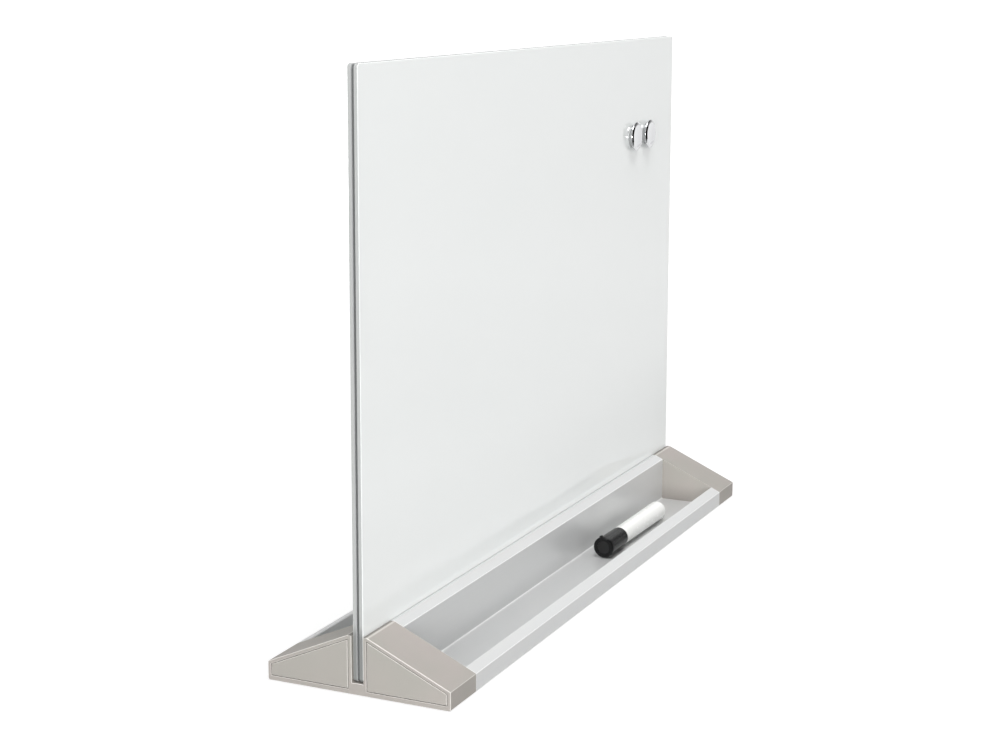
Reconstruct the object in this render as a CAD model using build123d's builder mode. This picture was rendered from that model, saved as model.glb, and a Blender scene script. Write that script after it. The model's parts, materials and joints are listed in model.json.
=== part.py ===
from build123d import *
import os
from math import asin, atan2, cos, sin

# Double-sided glass desk whiteboard in a pen-tray base, with two magnets and a capped marker.
# Millimetres. X runs along the board, the front faces -Y and Z is up. The origin is on the desk,
# under the middle of the base.

os.makedirs("parts", exist_ok=True)

# ---------------------------------------------------------------- driving dimensions

# Glass board
board_length = 594.0
board_height = 420.0
glass_thickness = 3.2
bond_thickness = 0.4
steel_thickness = 0.7
core_inset = 2.0  # the steel and its films stop short of the glass edge
glass_corner_radius = 3.0
glass_arris = 0.4

# Base, outside
base_length = 597.0
base_depth = 142.0
cap_width = 39.3
peak_height = 42.3  # desk to the top of the base, beside the board
edge_height = 14.0  # desk to the top of the outer edge
foot_proud = 0.4
bottom_chamfer = 1.0
peak_land = 3.1  # level strip beside the slot
slot_width = 9.0
slot_floor_height = 8.8
board_seat_gap = 0.2  # the caps' slot floor stays clear of the glass

# Base section
ledge_reach = 14.8  # board's middle plane to the trough's upright wall
lip_width = 8.8
tray_floor = 1.2
section_wall = 2.0
crown_wall = 2.2
channel_web = 2.0
setting_block_height = 2.6
ridge_radius = 0.6
ledge_radius = 0.8
lip_radius = 0.8
trough_radius = 1.2
slot_edge_radius = 0.8

# Screw ports, screws and locating spigots
port_reach = 12.0
port_height = 24.0
port_radius = 1.5
port_wall = 1.2
screw_radius = 1.45
screw_bite = 12.0
screw_head_radius = 2.7
screw_head_height = 1.9
screw_head_chamfer = 0.6
driver_slot_width = 0.8
driver_slot_depth = 0.9
screw_hole_clearance = 0.25
spigot_length = 6.0
spigot_clearance = 0.3
spigot_port_gap = 2.0

# End caps and their cover panels
cap_edge_radius = 0.6
cap_inner_wall = 3.0
frame_margin = 2.5
groove_width = 0.45
rebate_edge_radius = 0.4
inlay_thickness = 2.0
inlay_seat = 1.0
inlay_edge_radius = 0.55
skirt_thickness = 1.2
skirt_depth = 3.0
skirt_clearance = 0.2
rib_thickness = 1.6
rib_reach = (30.0, 48.0)  # distances from the board's middle plane
rib_gap = 0.5

# Feet, setting blocks and gaskets
foot_length = 26.0
foot_width = 12.0
foot_corner_radius = 3.0
foot_thickness = 1.2
foot_reach = 52.0
foot_clearance = 0.2
setting_block_length = 60.0
setting_block_reach = 150.0
setting_block_clearance = 0.2
gasket_height = 9.0
gasket_drop = 0.5
gasket_clearance = 0.1
gasket_lead_in = 0.4
barb_height = 1.6
barb_depth = 1.0
barb_clearance = 0.1

# Magnets
magnet_positions = {"left": 198.9, "right": 232.2}
magnet_height = 344.4
knob_base_radius = 10.0
knob_rim_radius = 12.4
knob_height = 5.0
knob_band = 1.2
knob_rim_band = 0.8
knob_crown_width = 2.1
knob_crown_height = 0.9
dish_radius = 8.6
dish_fall = 0.3
bowl_radius = 6.1
bowl_fall = 0.6
magnet_radius = 7.0
magnet_thickness = 2.2
magnet_clearance = 0.1
pad_thickness = 0.6
pad_radius = 9.5

# Marker
marker_start = 61.2  # x of the cap's closed end
marker_offset = 35.5  # in front of the board's middle plane
rest_gap = 0.25
cap_length = 36.0
cap_flange_radius = 8.9
cap_flange_width = 3.0
cap_flange_chamfer = 0.7
cap_step = 0.5
cap_shoulder_radius = 8.45
cap_mouth_radius = 8.1
cap_end_wall = 1.4
end_disc_radius = 5.4
end_disc_thickness = 1.2
end_disc_recess = 0.5
end_disc_clearance = 0.05
tab_width = 2.4
tab_height = 1.2
tab_length = 2.0
tab_angle = 73.0
mouth_gap = 0.3
barrel_mouth_radius = 7.9
barrel_tail_radius = 8.3
barrel_taper_length = 90.5
barrel_bore_radius = 5.8
neck_radius = 6.1
neck_length = 12.0
neck_fit = 0.1
plug_length = 14.0
plug_clearance = 0.1
cone_length = 12.0
cone_tip_radius = 3.0
nib_radius = 1.9
nib_tip_radius = 0.9
nib_tip_length = 1.6
nib_length = 42.0
nib_clearance = 0.1
nib_projection = 6.0
feed_bore_radius = 4.2
feed_bore_start = 10.0
reservoir_radius = 5.3
reservoir_gap = 0.5
liner_length = 11.0
liner_bore_radius = 4.6
liner_clearance = 0.05

# ---------------------------------------------------------------- worked out from them

board_thickness = 2 * (glass_thickness + bond_thickness) + steel_thickness
board_half = board_thickness / 2
core_half = board_half - glass_thickness
board_bottom = slot_floor_height + board_seat_gap
board_middle = board_bottom + board_height / 2

half_depth = base_depth / 2
slot_half = slot_width / 2
ridge_y = slot_half + peak_land
lip_y = half_depth - lip_width
base_bottom = foot_proud
outline_z = base_bottom + bottom_chamfer
tray_z = base_bottom + tray_floor
channel_floor = board_bottom - setting_block_height
slope_angle = atan2(peak_height - edge_height, half_depth - ridge_y)
extrusion_length = base_length - 2 * cap_width


def slope_z(y):
    """Height of the base's sloping top at a distance y from the board's middle plane."""
    return peak_height - (y - ridge_y) * (peak_height - edge_height) / (half_depth - ridge_y)


def panel_corners(inset):
    """Corners of the end face's panel, drawn in from the cap's outline by one distance."""
    inner = slot_half + inset
    outer = half_depth - inset
    fall = inset / cos(slope_angle)
    low = outline_z + inset
    return [(inner, low), (outer, low), (outer, slope_z(outer) - fall), (inner, slope_z(inner) - fall)]


wall_chamber = [
    (slot_half + section_wall, tray_z),
    (ledge_reach - section_wall, tray_z),
    (ledge_reach - section_wall, slope_z(ledge_reach - section_wall) - crown_wall),
    (slot_half + section_wall, peak_height - crown_wall),
]
lip_chamber = [
    (lip_y + section_wall, tray_z),
    (half_depth - section_wall, tray_z),
    (half_depth - section_wall, slope_z(half_depth - section_wall) - crown_wall),
    (lip_y + section_wall, slope_z(lip_y + section_wall) - crown_wall),
]

# ---------------------------------------------------------------- base section

gasket_top = peak_height - gasket_drop
barb_z = gasket_top - gasket_height / 2
port_places = [(-port_reach, port_height), (port_reach, port_height)]

with BuildPart() as base_extrusion:
    with BuildSketch(Plane.YZ.offset(-extrusion_length / 2)):
        with BuildLine():
            FilletPolyline(
                (0, channel_floor),
                (slot_half, channel_floor),
                (slot_half, peak_height),
                (ridge_y, peak_height),
                (ledge_reach, slope_z(ledge_reach)),
                (ledge_reach, tray_z),
                (lip_y, tray_z),
                (lip_y, slope_z(lip_y)),
                (half_depth, edge_height),
                (half_depth, outline_z),
                (half_depth - bottom_chamfer, base_bottom),
                (0, base_bottom),
                radius=[
                    0, 0, slot_edge_radius, ridge_radius, ledge_radius, trough_radius, trough_radius,
                    ledge_radius, lip_radius, 0, 0, 0,
                ],
                close=True,
            )
        make_face()
        Polygon(*wall_chamber, align=None, mode=Mode.SUBTRACT)
        Polygon(*lip_chamber, align=None, mode=Mode.SUBTRACT)
        with Locations((port_reach, port_height)):
            Circle(port_radius + port_wall)
            Circle(port_radius, mode=Mode.SUBTRACT)
        with Locations((slot_half, barb_z)):
            Rectangle(
                barb_depth + barb_clearance,
                barb_height + 2 * barb_clearance,
                align=(Align.MIN, Align.CENTER),
                mode=Mode.SUBTRACT,
            )
        with Locations((0, tray_z)):
            Rectangle(
                slot_half,
                channel_floor - channel_web - tray_z,
                align=(Align.MIN, Align.MIN),
                mode=Mode.SUBTRACT,
            )
        mirror(about=Plane.YZ)
    extrude(amount=extrusion_length)
base_extrusion.part.label = "base_extrusion"
export_step(base_extrusion.part, "parts/base_extrusion.step")

# ---------------------------------------------------------------- end caps, covers and screws

foot_x = (base_length - cap_width) / 2
pocket_inset = frame_margin + groove_width + inlay_seat
skirt_inset = pocket_inset + skirt_clearance
rib_height = cap_width - cap_inner_wall - inlay_thickness - skirt_depth - rib_gap

for side, side_name in ((-1, "left"), (1, "right")):
    outer_x = side * base_length / 2
    inner_x = outer_x - side * cap_width
    seat_x = inner_x + side * cap_inner_wall
    outer_face = Plane.YZ.offset(outer_x)
    inner_face = Plane.YZ.offset(inner_x)
    outward = Axis((0, 0, 0), (side, 0, 0))

    with BuildPart() as end_cap:
        with BuildSketch(outer_face):
            with BuildLine():
                FilletPolyline(
                    (0, slot_floor_height),
                    (slot_half, slot_floor_height),
                    (slot_half, peak_height),
                    (ridge_y, peak_height),
                    (half_depth, edge_height),
                    (half_depth, outline_z),
                    (half_depth - bottom_chamfer, base_bottom),
                    (0, base_bottom),
                    radius=[0, 0, slot_edge_radius, ridge_radius, lip_radius, 0, 0, 0],
                    close=True,
                )
            make_face()
            mirror(about=Plane.YZ)
        extrude(amount=-side * cap_width)
        fillet(end_cap.faces().sort_by(outward)[-1].edges(), cap_edge_radius)
        # Rebates for the cover panels and the pockets behind them
        with BuildSketch(outer_face):
            Polygon(*panel_corners(frame_margin), align=None)
            mirror(about=Plane.YZ)
        extrude(amount=-side * inlay_thickness, mode=Mode.SUBTRACT)
        rebate_mouths = end_cap.faces().sort_by(outward)[-1].inner_wires()
        fillet(rebate_mouths.edges(), rebate_edge_radius)
        with BuildSketch(outer_face):
            Polygon(*panel_corners(pocket_inset), align=None)
            mirror(about=Plane.YZ)
        extrude(amount=-side * (cap_width - cap_inner_wall), mode=Mode.SUBTRACT)
        # Stiffening ribs, clear of the covers' skirts
        with BuildSketch(Plane.YZ.offset(seat_x)):
            with Locations(*[(reach, 0) for reach in rib_reach]):
                Rectangle(rib_thickness, 2 * peak_height)
            Polygon(*panel_corners(pocket_inset), align=None, mode=Mode.INTERSECT)
            mirror(about=Plane.YZ)
        extrude(amount=side * rib_height)
        # Screw holes, foot recesses and the spigots that enter the section's chambers
        with BuildSketch(inner_face):
            with Locations(*port_places):
                Circle(screw_radius + screw_hole_clearance)
        extrude(amount=side * cap_inner_wall, mode=Mode.SUBTRACT)
        with BuildSketch(Plane.XY.offset(base_bottom)):
            with Locations((side * foot_x, -foot_reach), (side * foot_x, foot_reach)):
                RectangleRounded(
                    foot_length + 2 * foot_clearance,
                    foot_width + 2 * foot_clearance,
                    foot_corner_radius + foot_clearance,
                )
        extrude(amount=foot_thickness - foot_proud, mode=Mode.SUBTRACT)
        with BuildSketch(inner_face):
            Polygon(*lip_chamber, align=None)
            offset(amount=-spigot_clearance, mode=Mode.REPLACE)
            mirror(about=Plane.YZ)
        extrude(amount=-side * spigot_length)
        with BuildSketch(inner_face):
            with Locations((slot_half + section_wall + spigot_clearance, tray_z + spigot_clearance)):
                Rectangle(
                    ledge_reach - slot_half - 2 * (section_wall + spigot_clearance),
                    port_height - port_radius - port_wall - spigot_port_gap - tray_z,
                    align=(Align.MIN, Align.MIN),
                )
            mirror(about=Plane.YZ)
        extrude(amount=-side * spigot_length)
    end_cap.part.label = f"{side_name}_end_cap"
    export_step(end_cap.part, f"parts/{side_name}_end_cap.step")

    for row, row_name in ((-1, "front"), (1, "rear")):
        cover_outline = [(row * y, z) for y, z in panel_corners(frame_margin + groove_width)]
        skirt_outside = [(row * y, z) for y, z in panel_corners(skirt_inset)]
        skirt_inside = [(row * y, z) for y, z in panel_corners(skirt_inset + skirt_thickness)]
        with BuildPart() as inlay:
            with BuildSketch(outer_face):
                Polygon(*cover_outline, align=None)
            extrude(amount=-side * inlay_thickness)
            fillet(inlay.faces().sort_by(outward)[-1].edges(), inlay_edge_radius)
            with BuildSketch(outer_face.offset(-side * inlay_thickness)):
                Polygon(*skirt_outside, align=None)
                Polygon(*skirt_inside, align=None, mode=Mode.SUBTRACT)
            extrude(amount=-side * skirt_depth)
        inlay.part.label = f"{side_name}_{row_name}_inlay"
        export_step(inlay.part, f"parts/{side_name}_{row_name}_inlay.step")

    with BuildPart() as cap_screws:
        with BuildSketch(Plane.YZ.offset(seat_x)):
            with Locations(*port_places):
                Circle(screw_head_radius)
        extrude(amount=side * screw_head_height)
        head_top = cap_screws.faces().sort_by(outward)[-2:]
        chamfer(head_top.edges(), screw_head_chamfer)
        with BuildSketch(Plane.YZ.offset(seat_x + side * screw_head_height)):
            with Locations(*port_places):
                Rectangle(2 * screw_head_radius, driver_slot_width)
        extrude(amount=-side * driver_slot_depth, mode=Mode.SUBTRACT)
        with BuildSketch(Plane.YZ.offset(seat_x)):
            with Locations(*port_places):
                Circle(screw_radius)
        extrude(amount=-side * (cap_inner_wall + screw_bite))
    cap_screws.part.label = f"{side_name}_cap_screws"
    export_step(cap_screws.part, f"parts/{side_name}_cap_screws.step")

# ---------------------------------------------------------------- feet, blocks and gaskets

with BuildPart() as base_feet:
    with BuildSketch():
        with GridLocations(2 * foot_x, 2 * foot_reach, 2, 2):
            RectangleRounded(foot_length, foot_width, foot_corner_radius)
    extrude(amount=foot_thickness)
base_feet.part.label = "base_feet"
export_step(base_feet.part, "parts/base_feet.step")

with BuildPart() as setting_blocks:
    with BuildSketch(Plane.XY.offset(channel_floor)):
        with GridLocations(2 * setting_block_reach, 0, 2, 1):
            Rectangle(setting_block_length, slot_width - 2 * setting_block_clearance)
    extrude(amount=setting_block_height)
setting_blocks.part.label = "setting_blocks"
export_step(setting_blocks.part, "parts/setting_blocks.step")

gasket_face = board_half + gasket_clearance

for row, row_name in ((-1, "front"), (1, "rear")):
    with BuildPart() as gasket:
        with BuildSketch(Plane.YZ.offset(-extrusion_length / 2)):
            with BuildLine():
                Polyline(
                    (row * gasket_face, gasket_top - gasket_height),
                    (row * gasket_face, gasket_top - gasket_lead_in),
                    (row * (gasket_face + gasket_lead_in), gasket_top),
                    (row * slot_half, gasket_top),
                    (row * slot_half, barb_z + barb_height / 2),
                    (row * (slot_half + barb_depth), barb_z + barb_height / 2),
                    (row * (slot_half + barb_depth), barb_z - barb_height / 2),
                    (row * slot_half, barb_z - barb_height / 2),
                    (row * slot_half, gasket_top - gasket_height),
                    close=True,
                )
            make_face()
        extrude(amount=extrusion_length)
    gasket.part.label = f"{row_name}_channel_gasket"
    export_step(gasket.part, f"parts/{row_name}_channel_gasket.step")

# ---------------------------------------------------------------- glass board

for row, row_name in ((-1, "front"), (1, "rear")):
    with BuildPart() as glass:
        with BuildSketch(Plane.XZ.offset(-row * core_half)):
            with Locations((0, board_middle)):
                RectangleRounded(board_length, board_height, glass_corner_radius)
        extrude(amount=-row * glass_thickness)
        chamfer(glass.faces().filter_by(Axis.Y).edges(), glass_arris)
    glass.part.label = f"{row_name}_glass"
    export_step(glass.part, f"parts/{row_name}_glass.step")

core_layers = {
    "front_bond_film": (-core_half, bond_thickness),
    "steel_core": (-core_half + bond_thickness, steel_thickness),
    "rear_bond_film": (core_half - bond_thickness, bond_thickness),
}

for layer_name, (near_y, thickness) in core_layers.items():
    with BuildPart() as layer:
        with BuildSketch(Plane.XZ.offset(-near_y)):
            with Locations((0, board_middle)):
                Rectangle(board_length - 2 * core_inset, board_height - 2 * core_inset)
        extrude(amount=-thickness)
    layer.part.label = layer_name
    export_step(layer.part, f"parts/{layer_name}.step")

# ---------------------------------------------------------------- magnets

pocket_radius = magnet_radius + magnet_clearance
pocket_top = pad_thickness + magnet_thickness + magnet_clearance
rim_edge = knob_height - knob_crown_height
dish_z = knob_height - dish_fall

for magnet_name, magnet_x in magnet_positions.items():
    # Drawn with x as the radius and y as the height off the glass
    turning = Plane(origin=(magnet_x, -board_half, magnet_height), x_dir=(1, 0, 0), z_dir=(0, 0, -1))
    glass_face = Plane(origin=turning.origin, x_dir=(1, 0, 0), z_dir=turning.y_dir)

    with BuildPart() as knob:
        with BuildSketch(turning):
            with BuildLine():
                Polyline(
                    (0, pocket_top),
                    (pocket_radius, pocket_top),
                    (pocket_radius, pad_thickness),
                    (knob_base_radius, pad_thickness),
                    (knob_base_radius, pad_thickness + knob_band),
                    (knob_rim_radius, rim_edge - knob_rim_band),
                    (knob_rim_radius, rim_edge),
                    (knob_rim_radius - knob_crown_width, knob_height),
                    (dish_radius, dish_z),
                    (bowl_radius, dish_z - bowl_fall),
                    (0, dish_z - bowl_fall),
                    close=True,
                )
            make_face()
        revolve(axis=Axis(turning.origin, turning.y_dir))
    knob.part.label = f"{magnet_name}_magnet_knob"
    export_step(knob.part, f"parts/{magnet_name}_magnet_knob.step")

    with BuildPart() as disc:
        with BuildSketch(glass_face.offset(pad_thickness)):
            Circle(magnet_radius)
        extrude(amount=magnet_thickness)
    disc.part.label = f"{magnet_name}_magnet_disc"
    export_step(disc.part, f"parts/{magnet_name}_magnet_disc.step")

    with BuildPart() as pad:
        with BuildSketch(glass_face):
            Circle(pad_radius)
        extrude(amount=pad_thickness)
    pad.part.label = f"{magnet_name}_magnet_pad"
    export_step(pad.part, f"parts/{magnet_name}_magnet_pad.step")

# ---------------------------------------------------------------- marker

# The marker lies on its cap's flange and its tail, so its axis dips a little towards the tail.
tail_centre_s = cap_length + mouth_gap + barrel_taper_length
marker_dip = asin((cap_flange_radius - barrel_tail_radius) / tail_centre_s)
marker_axis = Vector(cos(marker_dip), 0, -sin(marker_dip))
cap_end_point = Vector(marker_start, -marker_offset, tray_z + rest_gap + cap_flange_radius)
# Drawn with x as the distance from the cap's closed end and y as the radius
marker_plane = Plane(origin=cap_end_point, x_dir=marker_axis, z_dir=(0, -1, 0))
marker_line = Axis(cap_end_point, marker_axis)

barrel_face = cap_length + mouth_gap
cap_floor = end_disc_recess + end_disc_thickness + cap_end_wall
cap_bore_radius = neck_radius + neck_fit
bore_end = tail_centre_s
plug_end = barrel_face + plug_length
neck_front = barrel_face - neck_length
cone_front = neck_front - cone_length
nib_front = cone_front - nib_projection
nib_end = nib_front + nib_length
feed_start = barrel_face - neck_length + feed_bore_start

with BuildPart() as marker_barrel:
    with BuildSketch(marker_plane):
        with BuildLine():
            Polyline(
                (bore_end, 0),
                (bore_end, barrel_bore_radius),
                (barrel_face, barrel_bore_radius),
                (barrel_face, barrel_mouth_radius),
                (tail_centre_s, barrel_tail_radius),
            )
            CenterArc((tail_centre_s, 0), barrel_tail_radius, 90, -90)
            Line((tail_centre_s + barrel_tail_radius, 0), (bore_end, 0))
        make_face()
    revolve(axis=marker_line)
marker_barrel.part.label = "marker_barrel"
export_step(marker_barrel.part, "parts/marker_barrel.step")

with BuildPart() as marker_nib_holder:
    with BuildSketch(marker_plane):
        with BuildLine():
            Polyline(
                (cone_front, nib_radius + nib_clearance),
                (cone_front, cone_tip_radius),
                (neck_front, neck_radius),
                (barrel_face, neck_radius),
                (barrel_face, barrel_bore_radius - plug_clearance),
                (plug_end, barrel_bore_radius - plug_clearance),
                (plug_end, feed_bore_radius),
                (feed_start, feed_bore_radius),
                (feed_start, nib_radius + nib_clearance),
                close=True,
            )
        make_face()
    revolve(axis=marker_line)
marker_nib_holder.part.label = "marker_nib_holder"
export_step(marker_nib_holder.part, "parts/marker_nib_holder.step")

with BuildPart() as marker_nib:
    with BuildSketch(marker_plane):
        with BuildLine():
            Polyline(
                (nib_front, 0),
                (nib_front, nib_tip_radius),
                (nib_front + nib_tip_length, nib_radius),
                (nib_end, nib_radius),
                (nib_end, 0),
                close=True,
            )
        make_face()
    revolve(axis=marker_line)
marker_nib.part.label = "marker_nib"
export_step(marker_nib.part, "parts/marker_nib.step")

with BuildPart() as ink_reservoir:
    with BuildSketch(marker_plane):
        with Locations((plug_end + reservoir_gap, 0)):
            Rectangle(
                bore_end - plug_end - 2 * reservoir_gap,
                reservoir_radius,
                align=(Align.MIN, Align.MIN),
            )
        # The nib's tail is pushed into the fibre
        with Locations((plug_end + reservoir_gap, 0)):
            Rectangle(
                nib_end - plug_end - reservoir_gap,
                nib_radius + nib_clearance,
                align=(Align.MIN, Align.MIN),
                mode=Mode.SUBTRACT,
            )
    revolve(axis=marker_line)
ink_reservoir.part.label = "ink_reservoir"
export_step(ink_reservoir.part, "parts/ink_reservoir.step")

with BuildPart() as marker_cap:
    with BuildSketch(marker_plane):
        with BuildLine():
            Polyline(
                (end_disc_recess + end_disc_thickness, 0),
                (end_disc_recess + end_disc_thickness, end_disc_radius + end_disc_clearance),
                (0, end_disc_radius + end_disc_clearance),
                (0, cap_flange_radius - cap_flange_chamfer),
                (cap_flange_chamfer, cap_flange_radius),
                (cap_flange_width, cap_flange_radius),
                (cap_flange_width + cap_step, cap_shoulder_radius),
                (cap_length, cap_mouth_radius),
                (cap_length, cap_bore_radius),
                (cap_floor, cap_bore_radius),
                (cap_floor, 0),
                close=True,
            )
        make_face()
    revolve(axis=marker_line)
    # Small stop on the flange that keeps the marker from rolling
    flange_plane = Plane(origin=cap_end_point, x_dir=(0, 1, 0), z_dir=marker_axis)
    with BuildSketch(flange_plane.offset(cap_flange_chamfer)):
        with PolarLocations(cap_flange_radius, 1, start_angle=tab_angle):
            RectangleRounded(2 * tab_height, tab_width, tab_height / 2)
    extrude(amount=tab_length)
marker_cap.part.label = "marker_cap"
export_step(marker_cap.part, "parts/marker_cap.step")

with BuildPart() as cap_end_disc:
    with BuildSketch(flange_plane.offset(end_disc_recess)):
        Circle(end_disc_radius)
    extrude(amount=end_disc_thickness)
cap_end_disc.part.label = "cap_end_disc"
export_step(cap_end_disc.part, "parts/cap_end_disc.step")

with BuildPart() as cap_liner:
    with BuildSketch(flange_plane.offset(cap_floor)):
        Circle(cap_bore_radius - liner_clearance)
        Circle(liner_bore_radius, mode=Mode.SUBTRACT)
    extrude(amount=liner_length)
cap_liner.part.label = "cap_liner"
export_step(cap_liner.part, "parts/cap_liner.step")

# The cap pulls off against this direction
print("marker axis:", [round(value, 6) for value in marker_axis])
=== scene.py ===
import json
from math import cos, pi, radians, sin

import bmesh
import bpy
from mathutils import Matrix, Vector


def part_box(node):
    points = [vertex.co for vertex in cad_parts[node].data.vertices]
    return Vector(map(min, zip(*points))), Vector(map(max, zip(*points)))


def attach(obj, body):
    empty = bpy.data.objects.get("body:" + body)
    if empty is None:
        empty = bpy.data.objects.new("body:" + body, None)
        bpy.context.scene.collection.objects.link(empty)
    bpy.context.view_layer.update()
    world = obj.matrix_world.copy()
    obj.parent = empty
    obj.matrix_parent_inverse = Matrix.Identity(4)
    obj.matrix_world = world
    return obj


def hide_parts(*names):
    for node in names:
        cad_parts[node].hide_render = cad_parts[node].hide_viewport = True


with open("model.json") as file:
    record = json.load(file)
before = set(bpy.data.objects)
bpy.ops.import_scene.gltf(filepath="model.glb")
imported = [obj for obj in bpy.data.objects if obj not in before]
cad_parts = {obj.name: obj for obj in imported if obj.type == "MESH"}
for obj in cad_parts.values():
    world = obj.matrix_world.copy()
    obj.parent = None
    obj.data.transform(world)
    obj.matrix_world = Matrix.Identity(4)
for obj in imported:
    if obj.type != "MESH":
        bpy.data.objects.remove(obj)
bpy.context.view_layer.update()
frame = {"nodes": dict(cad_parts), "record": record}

# A double-sided glass desk whiteboard in its pen-tray base, on a white studio floor.
# Metres. X runs along the board, the front faces -Y and Z is up.

# ---------------------------------------------------------------- small helpers


def srgb(red, green, blue):
    """A display colour from 0 to 255 as the linear colour that a shader takes."""
    linear = []
    for value in (red, green, blue):
        share = value / 255
        linear.append(share / 12.92 if share <= 0.04045 else ((share + 0.055) / 1.055) ** 2.4)
    return (*linear, 1.0)


class Nodes:
    """Short names for the node tree of one material or world."""

    def __init__(self, owner):
        owner.use_nodes = True
        self.tree = owner.node_tree

    def add(self, kind, **settings):
        node = self.tree.nodes.new("ShaderNode" + kind)
        for name, value in settings.items():
            setattr(node, name, value)
        return node

    def feed(self, socket, value):
        """Joins a socket to another, or sets its plain value."""
        if isinstance(value, bpy.types.NodeSocket):
            self.tree.links.new(value, socket)
        else:
            socket.default_value = value

    def math(self, operation, first, second=0.0):
        node = self.add("Math", operation=operation)
        self.feed(node.inputs[0], first)
        self.feed(node.inputs[1], second)
        return node.outputs[0]

    def remap(self, value, from_low, from_high, to_low, to_high):
        """A value's place between two limits as a place between two others, and no further."""
        node = self.add("MapRange")
        self.feed(node.inputs["Value"], value)
        self.feed(node.inputs["From Min"], from_low)
        self.feed(node.inputs["From Max"], from_high)
        self.feed(node.inputs["To Min"], to_low)
        self.feed(node.inputs["To Max"], to_high)
        return node.outputs["Result"]

    def mix(self, share, first, second):
        """Two colours, with the second one's share."""
        node = self.add("Mix", data_type="RGBA")
        self.feed(node.inputs["Factor"], share)
        self.feed(node.inputs["A"], first)
        self.feed(node.inputs["B"], second)
        return node.outputs["Result"]

    def choose(self, share, first, second):
        """Two shaders, with the second one's share."""
        node = self.add("MixShader")
        self.feed(node.inputs[0], share)
        self.feed(node.inputs[1], first)
        self.feed(node.inputs[2], second)
        return node.outputs[0]

    def axes(self, kind):
        """The X, Y and Z of a texture coordinate."""
        node = self.add("SeparateXYZ")
        self.feed(node.inputs[0], self.add("TexCoord").outputs[kind])
        return node.outputs

    def grain(self, per_metre, detail=2.0, roughness=0.5, offset=(0, 0, 0)):
        """Noise from 0 to 1, fixed to the piece, with its own count per metre along each axis."""
        mapping = self.add("Mapping")
        self.feed(mapping.inputs["Vector"], self.add("TexCoord").outputs["Object"])
        mapping.inputs["Scale"].default_value = per_metre
        mapping.inputs["Location"].default_value = offset
        noise = self.add("TexNoise")
        self.feed(noise.inputs["Vector"], mapping.outputs["Vector"])
        noise.inputs["Scale"].default_value = 1.0
        noise.inputs["Detail"].default_value = detail
        noise.inputs["Roughness"].default_value = roughness
        return noise.outputs["Fac"]

    def edges(self, radius, flats, turned, flat):
        """1 where the surface, rounded by the radius, faces none of the flat faces' directions.

        The last two are cosines of the angle to the nearest flat face's direction: up to the first
        one the edge is full, and at the second one it ends.
        """
        bevel = self.add("Bevel", samples=6)
        bevel.inputs["Radius"].default_value = radius
        own = self.add(
            "VectorTransform", vector_type="NORMAL", convert_from="WORLD", convert_to="OBJECT"
        )
        self.feed(own.inputs[0], bevel.outputs["Normal"])
        nearest = 0.0
        for direction in flats:
            facing = self.add("VectorMath", operation="DOT_PRODUCT")
            self.feed(facing.inputs[0], own.outputs[0])
            facing.inputs[1].default_value = direction
            nearest = self.math(
                "MAXIMUM", self.math("ABSOLUTE", facing.outputs["Value"]), nearest
            )
        return self.remap(nearest, turned, flat, 1.0, 0.0)

    def bump(self, height, distance, strength):
        node = self.add("Bump")
        self.feed(node.inputs["Height"], height)
        node.inputs["Distance"].default_value = distance
        node.inputs["Strength"].default_value = strength
        return node.outputs["Normal"]


def principled(name, **values):
    """A new material, its nodes and its main shader with plain values already set."""
    material = bpy.data.materials.new(name)
    nodes = Nodes(material)
    shader = nodes.tree.nodes["Principled BSDF"]
    for socket, value in values.items():
        shader.inputs[socket.replace("_", " ")].default_value = value
    return material, nodes, shader


def rectangle(name, half_width, half_height):
    """A flat rectangle round its own origin."""
    mesh = bpy.data.meshes.new(name)
    corners = [
        (-half_width, -half_height, 0),
        (half_width, -half_height, 0),
        (half_width, half_height, 0),
        (-half_width, half_height, 0),
    ]
    mesh.from_pydata(corners, [], [(0, 1, 2, 3)])
    sheet = bpy.data.objects.new(name, mesh)
    bpy.context.scene.collection.objects.link(sheet)
    return sheet


def aim(item, front, place, target):
    """Puts an object at its place with its front axis towards the target."""
    item.location = place
    heading = Vector(target) - Vector(place)
    item.rotation_euler = heading.to_track_quat(front, "Y").to_euler()


# ---------------------------------------------------------------- materials

BASE_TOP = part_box("base_extrusion")[1][2]
BASE_SLOPE = radians(24.06)  # fall of the base's top towards its outer edges
BASE_FLATS = [
    (1, 0, 0),
    (0, 1, 0),
    (0, 0, 1),
    (0, sin(BASE_SLOPE), cos(BASE_SLOPE)),
    (0, -sin(BASE_SLOPE), cos(BASE_SLOPE)),
]
ARRIS_ROUND = 0.0011  # reach of the painted highlight along the aluminium's edges
ARRIS_TURN = (0.95, 0.99)
# Reach of the painted highlight along the edges of the caps and covers.
CAP_EDGE_ROUND = 0.00035
CAP_EDGE_TURN = (0.90, 0.975)
DIE_LINE_HEIGHT = 0.00003
FLAKE_HEIGHT = 0.00004

# Pairs of places between which the painted shades and highlights set in, the first two measured
# from the base's top and the rest from the middle of the board's thickness.
CAP_TOP = (-0.0006, -0.0003)
GLASS_LEAVES_BASE = (-0.001, 0.008)
CAP_BESIDE_GLASS = (0.0066, 0.007)
CAP_RIDGE = (0.007, 0.0074)
GLASS_BACK = (0.0011, 0.0013)


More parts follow.
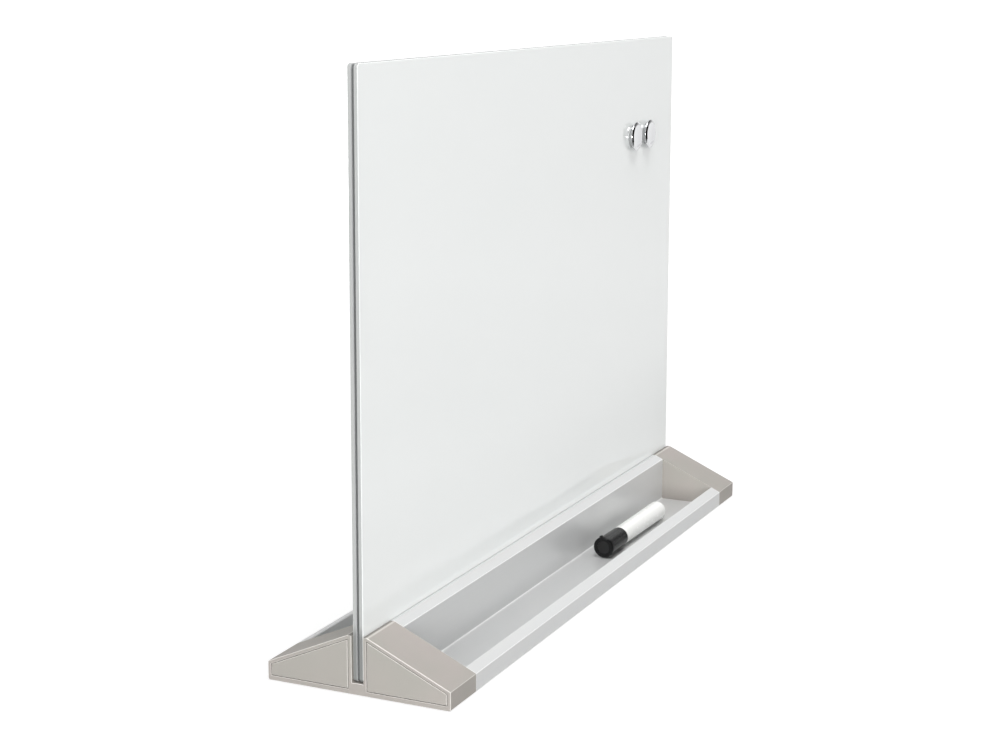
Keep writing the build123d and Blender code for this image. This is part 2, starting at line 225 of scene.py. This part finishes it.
def anodised_aluminium():
    """Satin silver anodising over faint extrusion die lines, and a painted highlight on the
    arrises.
    """
    material, nodes, shader = principled("anodised_aluminium")
    lines = nodes.grain((2.5, 1400, 1400), detail=3.0)
    clouds = nodes.grain((9, 30, 30), detail=2.0, offset=(3, 1, 7))
    arris_highlight_painted = nodes.edges(ARRIS_ROUND, BASE_FLATS, *ARRIS_TURN)
    body = nodes.mix(lines, srgb(218, 219, 219), srgb(222, 223, 223))
    body = nodes.mix(nodes.remap(clouds, 0.35, 0.65, 0.0, 0.25), body, srgb(224, 223, 222))
    # Painted highlight: the arrises are coloured white and made less metallic, for the light they
    # catch.
    body = nodes.mix(arris_highlight_painted, body, srgb(255, 255, 255))
    nodes.feed(shader.inputs["Base Color"], body)
    nodes.feed(shader.inputs["Metallic"], nodes.remap(arris_highlight_painted, 0.0, 1.0, 0.3, 0.05))
    nodes.feed(shader.inputs["Roughness"], nodes.remap(clouds, 0.3, 0.7, 0.3, 0.33))
    nodes.feed(shader.inputs["Normal"], nodes.bump(lines, DIE_LINE_HEIGHT, 0.04))
    return material


def painted_moulding(name, low, high, offset):
    """Warm grey paint, fine metallic grain; painted highlights on edges and ridge, painted shade by
    the glass.
    """
    material, nodes, shader = principled(name, Metallic=0.15, Specular_IOR_Level=0.15)
    flake = nodes.grain((5200, 5200, 5200), detail=1.0, offset=offset)
    clouds = nodes.grain((22, 22, 22), detail=2.0, offset=offset)
    body = nodes.mix(nodes.remap(clouds, 0.3, 0.7, 0.0, 1.0), low, high)
    body = nodes.mix(nodes.remap(flake, 0.35, 0.75, 0.0, 0.35), body, srgb(188, 184, 179))
    # Painted highlight: the rounded edges are coloured lighter, for the light they catch.
    edge_highlight_painted = nodes.edges(CAP_EDGE_ROUND, BASE_FLATS, *CAP_EDGE_TURN)
    body = nodes.mix(edge_highlight_painted, body, srgb(232, 229, 224))
    place = nodes.axes("Object")
    across = nodes.math("ABSOLUTE", place["Y"])
    start, full = CAP_TOP
    level = nodes.remap(place["Z"], BASE_TOP + start, BASE_TOP + full, 0.0, 1.0)
    # Painted shade: the level strip of the top beside the glass is coloured darker.
    shade_beside_glass_painted = nodes.math("MULTIPLY", level, nodes.remap(across, *CAP_BESIDE_GLASS, 0.6, 0.0))
    body = nodes.mix(shade_beside_glass_painted, body, srgb(112, 110, 107))
    # Painted highlight: the ridge outside that strip is coloured lighter.
    ridge = nodes.math("MULTIPLY", level, nodes.remap(across, *CAP_RIDGE, 0.0, 0.45))
    body = nodes.mix(ridge, body, srgb(240, 237, 232))
    nodes.feed(shader.inputs["Base Color"], body)
    nodes.feed(shader.inputs["Roughness"], nodes.remap(flake, 0.3, 0.7, 0.48, 0.6))
    nodes.feed(shader.inputs["Normal"], nodes.bump(flake, FLAKE_HEIGHT, 0.4))
    return material


def white_glass():
    """Polished glass painted white on its back; its ground edges show the grey-green of the glass.

    The edges' colour is painted darker where the base holds them: a painted shade, as there they
    pick up no light through the glass above them.
    """
    material, nodes, shader = principled("white_glass", IOR=1.52)
    edge = nodes.remap(nodes.math("ABSOLUTE", nodes.axes("Normal")["Y"]), 0.3, 0.6, 1.0, 0.0)
    place = nodes.axes("Object")
    held, clear = GLASS_LEAVES_BASE
    free = nodes.remap(place["Z"], BASE_TOP + held, BASE_TOP + clear, 0.0, 1.0)
    # Painted shade: the panes' back faces beside the steel core are coloured grey.
    back_shade_painted = nodes.remap(nodes.math("ABSOLUTE", place["Y"]), *GLASS_BACK, 1.0, 0.0)
    ground = nodes.grain((900, 900, 900), detail=2.0)
    wiped = nodes.grain((5, 40, 14), detail=4.0, roughness=0.6, offset=(2, 0, 5))
    face = nodes.mix(wiped, srgb(250, 253, 252), srgb(253, 255, 254))
    lit_side = nodes.mix(ground, srgb(184, 186, 185), srgb(192, 194, 193))
    # Painted shade: the edges are coloured darker where the base holds them.
    held_shade_painted = nodes.mix(ground, srgb(132, 134, 133), srgb(142, 144, 143))
    side = nodes.mix(free, held_shade_painted, lit_side)
    body = nodes.mix(back_shade_painted, nodes.mix(edge, face, side), srgb(176, 178, 178))
    nodes.feed(shader.inputs["Base Color"], body)
    polish = nodes.remap(wiped, 0.35, 0.7, 0.03, 0.075)
    frost = nodes.remap(ground, 0.3, 0.7, 0.3, 0.42)
    blend = nodes.add("Mix", data_type="FLOAT")
    nodes.feed(blend.inputs["Factor"], edge)
    nodes.feed(blend.inputs["A"], polish)
    nodes.feed(blend.inputs["B"], frost)
    nodes.feed(shader.inputs["Roughness"], blend.outputs["Result"])
    return material


def grained(name, low, high, per_metre, roughness, bump_height=0.00002, **values):
    """A plain moulded or sheet finish: two close shades, uneven gloss and a fine grain."""
    material, nodes, shader = principled(name, **values)
    grain = nodes.grain((per_metre, per_metre, per_metre), detail=3.0)
    nodes.feed(shader.inputs["Base Color"], nodes.mix(grain, srgb(*low), srgb(*high)))
    nodes.feed(shader.inputs["Roughness"], nodes.remap(grain, 0.3, 0.7, *roughness))
    nodes.feed(shader.inputs["Normal"], nodes.bump(grain, bump_height, 0.5))
    return material


# For each plain slot: the material's name, its darker and lighter shade, its grains per metre, and
# its least and greatest roughness.
PLAIN_FINISHES = {
    "zinc_screws": ("zinc", (176, 178, 182), (198, 199, 200), 2500, (0.25, 0.4)),
    "grey_gasket": ("gasket_rubber", (112, 114, 114), (126, 128, 128), 1800, (0.5, 0.65)),
    "black_rubber": ("foot_rubber", (32, 32, 33), (48, 48, 48), 1500, (0.6, 0.8)),
    "steel_sheet": ("steel_edge", (84, 86, 88), (108, 110, 112), 2200, (0.35, 0.5)),
    "bond_film": ("dark_film", (96, 98, 98), (116, 118, 118), 1200, (0.5, 0.6)),
    "chrome_plate": ("chrome", (202, 203, 205), (210, 211, 212), 700, (0.03, 0.07)),
    "nickel_magnet": ("nickel", (196, 194, 188), (210, 208, 203), 2000, (0.2, 0.3)),
    "magnet_pad": ("pad_foam", (168, 168, 167), (184, 184, 183), 3000, (0.7, 0.85)),
    "white_barrel": ("barrel_plastic", (251, 251, 248), (254, 254, 252), 420, (0.2, 0.28)),
    "nib_fibre": ("inked_fibre", (20, 20, 21), (38, 38, 39), 6000, (0.85, 0.95)),
    "reservoir_fibre": ("reservoir", (34, 34, 35), (60, 60, 60), 5000, (0.85, 0.95)),
    "black_cap": ("cap_plastic", (14, 14, 15), (20, 20, 21), 1600, (0.2, 0.3)),
    "black_disc": ("disc_plastic", (28, 28, 29), (35, 35, 35), 1800, (0.45, 0.55)),
    "cap_liner_plastic": ("liner_plastic", (222, 221, 216), (232, 231, 227), 900, (0.4, 0.5)),
}
# What else differs from a plain plastic or rubber.
PLAIN_DETAILS = {
    "zinc_screws": {"Metallic": 1.0},
    "steel_sheet": {"Metallic": 0.8},
    "chrome_plate": {"bump_height": 0.000002, "Metallic": 1.0},
    "nickel_magnet": {"Metallic": 1.0},
    "white_barrel": {"bump_height": 0.000004, "IOR": 1.49},
    "black_cap": {"Specular_IOR_Level": 0.22},
    "black_disc": {"Specular_IOR_Level": 0.2},
}


def slot_materials():
    """One finish for each material slot of the record."""
    finishes = {
        "anodised_section": anodised_aluminium(),
        "cap_moulding": painted_moulding(
            "cap_paint", srgb(176, 173, 166), srgb(184, 176, 172), (0, 0, 0)
        ),
        "cover_panel": painted_moulding(
            "cover_paint", srgb(176, 174, 167), srgb(181, 176, 170), (4, 2, 9)
        ),
        "white_glass": white_glass(),
    }
    for slot, finish in PLAIN_FINISHES.items():
        finishes[slot] = grained(*finish, **PLAIN_DETAILS.get(slot, {}))
    return finishes


def dress_cad_nodes():
    """Puts each slot's finish on the CAD nodes that the record gives it."""
    finishes = slot_materials()
    for part in frame["record"]["subparts"]:
        node = frame["nodes"][part["node"]]
        finish = finishes[part["material_slot"]]
        if not node.material_slots:
            node.data.materials.append(finish)
        for slot in node.material_slots:
            slot.material = finish


# ---------------------------------------------------------------- turned knobs

KNOB_BASE_RADIUS = 0.01
KNOB_BAND = 0.0012
KNOB_FLARE = 0.0015
KNOB_CROWN = (0.0021, 0.0009)  # width and height of the sloping ring between the rim and the face
KNOB_EDGE_ROUND = 0.0003
KNOB_POCKET = (0.0071, 0.0023)  # radius and depth
KNOB_BOWL_FALL = 0.0007
KNOB_STEPS = 96  # round the knob
KNOB_FLARE_STEPS = 8
KNOB_BOWL_STEPS = 16
KNOB_SHARP_EDGE = radians(35)


def knob_profile(rim, height):
    """Radius and height of the knob's turned section, from the magnet's pocket to the face."""
    pocket_radius, pocket_depth = KNOB_POCKET
    crown_width, crown_height = KNOB_CROWN
    bowl_radius = rim - crown_width - KNOB_EDGE_ROUND
    rim_inset, edge_drop = 0.3 * KNOB_EDGE_ROUND, 0.1 * KNOB_EDGE_ROUND
    section = [
        (0, pocket_depth),
        (pocket_radius, pocket_depth),
        (pocket_radius, 0),
        (KNOB_BASE_RADIUS, 0),
    ]
    for step in range(KNOB_FLARE_STEPS + 1):
        turn = pi / 2 * step / KNOB_FLARE_STEPS
        reach = rim - (rim - KNOB_BASE_RADIUS) * cos(turn)
        section.append((reach, KNOB_BAND + KNOB_FLARE * sin(turn)))
    section += [
        (rim, height - crown_height - KNOB_EDGE_ROUND),
        (rim - rim_inset, height - crown_height - edge_drop),
        (rim - crown_width, height - edge_drop),
        (bowl_radius, height),
    ]
    for step in range(1, KNOB_BOWL_STEPS + 1):
        share = 1 - step / KNOB_BOWL_STEPS
        section.append((bowl_radius * share, height - KNOB_BOWL_FALL * (1 - share**2)))
    return section


def turn_knob(node_name, body):
    """A finely turned knob in the place of the plain one."""
    low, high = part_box(node_name)
    centre_x, centre_z = (low[0] + high[0]) / 2, (low[2] + high[2]) / 2
    section = knob_profile((high[0] - low[0]) / 2, high[1] - low[1])
    mesh_maker = bmesh.new()
    rings = []
    for radius, height in section:
        count = KNOB_STEPS if radius > 0 else 1
        ring = []
        for step in range(count):
            turn = 2 * pi * step / KNOB_STEPS
            place = (centre_x + radius * cos(turn), high[1] - height, centre_z + radius * sin(turn))
            ring.append(mesh_maker.verts.new(place))
        rings.append(ring)
    for inner, outer in zip(rings, rings[1:]):
        for step in range(KNOB_STEPS):
            corners = []
            for ring, at in ((inner, step), (inner, step + 1), (outer, step + 1), (outer, step)):
                vertex = ring[at % len(ring)]
                if vertex not in corners:
                    corners.append(vertex)
            mesh_maker.faces.new(corners)
    bmesh.ops.recalc_face_normals(mesh_maker, faces=mesh_maker.faces)
    mesh = bpy.data.meshes.new(node_name + "_turned")
    mesh_maker.to_mesh(mesh)
    mesh_maker.free()
    mesh.shade_smooth()
    mesh.set_sharp_from_angle(angle=KNOB_SHARP_EDGE)
    knob = bpy.data.objects.new(node_name + "_turned", mesh)
    bpy.context.scene.collection.objects.link(knob)
    mesh.materials.append(frame["nodes"][node_name].material_slots[0].material)
    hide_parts(node_name)
    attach(knob, body)


# ---------------------------------------------------------------- studio

# Each lamp's name, place, target, width, height and watts.
LAMPS = [
    ("top_softbox", (-0.1, -0.4, 2.1), (0, -0.02, 0.1), 1.4, 0.8, 26.0),
    ("left_softbox", (-2.4, -0.5, 0.3), (0, 0, 0.1), 1.4, 0.5, 34.0),
    ("rear_softbox", (0.5, 2.4, 0.25), (0, 0, 0.2), 2.2, 0.5, 13.0),
]
# Each flag's name, place, target, width and height.
FLAGS = [
    ("near_flag", (-0.3, -0.55, 0.35), (-0.3, 0, 0.35), 2.0, 1.1),
    ("far_flag", (0.45, -1.25, 0.6), (0.45, 0, 0.6), 2.2, 1.6),
]
FLAG_SOFT_EDGE = (0.9, 1.0)  # shares of the half width and half height

# The world's directions are given by their height and by their Y, from -1 in front to 1 behind.
CEILING_HEIGHT = (sin(radians(3)), sin(radians(14)))
CEILING_AHEAD = (-0.35, -0.1)
FILL_REAR = (-0.3, 0.6)
FILL_HEIGHT = (sin(radians(8)), sin(radians(35)))
FILL_LOW_AND_HIGH = (1.6, 0.35)

FLOOR_BEFORE_BASE = (-0.25, -0.12)  # Y, between which the floor's painted shade, as polished metal sees it, fades out to full white
FLOOR_MIRRORED = 0.6
FLOOR_OPEN = (0.6, 1.6)  # distances from the middle, between which the floor's own white rises
FLOOR_NEAR_STRENGTH = 1.15  # together with the lit share
FLOOR_FAR_STRENGTH = 1.05

CAMERA_PLACE = (-1.4019, -0.6199, 0.4893)
CAMERA_HEADING = 24.947  # degrees from the board's length
CAMERA_FALL = 9.665
CAMERA_ROLL = 0.133
CAMERA_LENS = 69.94  # mm, on a sensor 36 mm wide
CAMERA_SHIFT = -0.075


def seen_rays(nodes):
    """1 for rays that show the surroundings: the camera's, and those that metal and glass send."""
    path = nodes.add("LightPath")
    shown = nodes.math("MAXIMUM", path.outputs["Is Camera Ray"], path.outputs["Is Glossy Ray"])
    return nodes.math("MAXIMUM", shown, path.outputs["Is Transmission Ray"])


def make_world(light_level, rear_share, ceiling_level):
    """White to look at, with a dark ceiling ahead that only polished surfaces see.

    What falls on the surfaces is a lower light, strongest near the horizon and weaker behind.
    """
    world = bpy.data.worlds.new("studio")
    bpy.context.scene.world = world
    nodes = Nodes(world)
    light = nodes.tree.nodes["Background"]
    light.inputs["Color"].default_value = (1, 1, 1, 1)
    shown = nodes.add("Background")
    shown.inputs["Color"].default_value = (1, 1, 1, 1)
    direction = nodes.axes("Generated")
    overhead = nodes.remap(direction["Z"], *CEILING_HEIGHT, 0.0, 1.0)
    ahead = nodes.remap(direction["Y"], *CEILING_AHEAD, 1.0, 0.0)
    mirrored = nodes.add("LightPath").outputs["Is Glossy Ray"]
    dark = nodes.math("MULTIPLY", nodes.math("MULTIPLY", overhead, ahead), mirrored)
    nodes.feed(shown.inputs["Strength"], nodes.remap(dark, 0.0, 1.0, 1.0, ceiling_level))
    fall = nodes.remap(direction["Y"], *FILL_REAR, light_level, light_level * rear_share)
    climb = nodes.remap(direction["Z"], *FILL_HEIGHT, *FILL_LOW_AND_HIGH)
    nodes.feed(light.inputs["Strength"], nodes.math("MULTIPLY", fall, climb))
    choice = nodes.choose(seen_rays(nodes), light.outputs[0], shown.outputs[0])
    nodes.feed(nodes.tree.nodes["World Output"].inputs["Surface"], choice)


def make_floor(half_size, bounce, shadow_share):
    """A white floor with a faint shadow: part of what is seen is plain white, the rest is lit."""
    floor = rectangle("floor", half_size, half_size)
    material = bpy.data.materials.new("white_floor")
    nodes = Nodes(material)
    nodes.tree.nodes.remove(nodes.tree.nodes["Principled BSDF"])
    speckle = nodes.grain((60, 60, 60))
    lit = nodes.add("BsdfDiffuse")
    grey, lighter = (bounce,) * 3 + (1,), (bounce * 1.02,) * 3 + (1,)
    nodes.feed(lit.inputs["Color"], nodes.mix(speckle, grey, lighter))
    shadowed = nodes.add("BsdfDiffuse")
    shadowed.inputs["Color"].default_value = (shadow_share, shadow_share, shadow_share, 1)
    # Painted shade: near the base, the floor that polished surfaces see is dimmed, for the base's
    # shadow there.
    before_base = nodes.remap(nodes.axes("Object")["Y"], *FLOOR_BEFORE_BASE, 0.0, 1.0)
    mirrored = nodes.math(
        "MULTIPLY", before_base, nodes.add("LightPath").outputs["Is Glossy Ray"]
    )
    away = nodes.add("VectorMath", operation="LENGTH")
    nodes.feed(away.inputs[0], nodes.add("TexCoord").outputs["Object"])
    near_strength = FLOOR_NEAR_STRENGTH - shadow_share
    open_floor = nodes.remap(
        away.outputs["Value"], *FLOOR_OPEN, near_strength, FLOOR_FAR_STRENGTH
    )
    strength = nodes.math(
        "MULTIPLY", open_floor, nodes.remap(mirrored, 0.0, 1.0, 1.0, FLOOR_MIRRORED)
    )
    plain = nodes.add("Emission")
    nodes.feed(plain.inputs["Strength"], strength)
    shown = nodes.add("AddShader")
    nodes.feed(shown.inputs[0], shadowed.outputs[0])
    nodes.feed(shown.inputs[1], plain.outputs[0])
    choice = nodes.choose(seen_rays(nodes), lit.outputs[0], shown.outputs[0])
    nodes.feed(nodes.tree.nodes["Material Output"].inputs["Surface"], choice)
    floor.data.materials.append(material)


def softbox(name, place, target, width, height, watts):
    """A rectangular lamp that faces its target."""
    lamp = bpy.data.lights.new(name, "AREA")
    lamp.shape = "RECTANGLE"
    lamp.size = width
    lamp.size_y = height
    lamp.energy = watts
    holder = bpy.data.objects.new(name, lamp)
    aim(holder, "-Z", place, target)
    holder.visible_camera = False
    bpy.context.scene.collection.objects.link(holder)


def black_flag(name, place, target, width, height):
    """A soft-edged black cloth that only polished surfaces see, as is hung beside chrome."""
    half_width, half_height = width / 2, height / 2
    flag = rectangle(name, half_width, half_height)
    aim(flag, "Z", place, target)
    flag.visible_camera = False
    flag.visible_diffuse = False
    flag.visible_shadow = False
    flag.visible_transmission = False
    material, nodes, cloth = principled("black_cloth", Roughness=0.9, Specular_IOR_Level=0.0)
    cloth.inputs["Base Color"].default_value = (0.004, 0.004, 0.004, 1)
    across = nodes.axes("Object")
    sideways = nodes.math("ABSOLUTE", nodes.math("DIVIDE", across["X"], half_width))
    upwards = nodes.math("ABSOLUTE", nodes.math("DIVIDE", across["Y"], half_height))
    rim = nodes.math("MAXIMUM", sideways, upwards)
    nodes.feed(cloth.inputs["Alpha"], nodes.remap(rim, *FLAG_SOFT_EDGE, 1.0, 0.0))
    flag.data.materials.append(material)


def make_camera():
    """The photograph's viewpoint: close to the left end, a little above the board's middle."""
    data = bpy.data.cameras.new("camera")
    data.sensor_width = 36.0
    data.lens = CAMERA_LENS
    data.shift_y = CAMERA_SHIFT
    camera = bpy.data.objects.new("camera", data)
    turn = Matrix.Rotation(radians(CAMERA_HEADING - 90), 4, "Z")
    tilt = Matrix.Rotation(radians(90) - radians(CAMERA_FALL), 4, "X")
    roll = Matrix.Rotation(radians(CAMERA_ROLL), 4, "Z")
    camera.matrix_world = Matrix.Translation(CAMERA_PLACE) @ turn @ tilt @ roll
    bpy.context.scene.collection.objects.link(camera)
    bpy.context.scene.camera = camera


def make_studio():
    make_world(light_level=0.8, rear_share=0.12, ceiling_level=0.1)
    make_floor(half_size=30.0, bounce=0.4, shadow_share=0.35)
    for lamp in LAMPS:
        softbox(*lamp)
    for flag in FLAGS:
        black_flag(*flag)
    make_camera()
    bpy.context.scene.view_settings.view_transform = "Standard"


dress_cad_nodes()
turn_knob("left_magnet_knob", "left_magnet")
turn_knob("right_magnet_knob", "right_magnet")
make_studio()
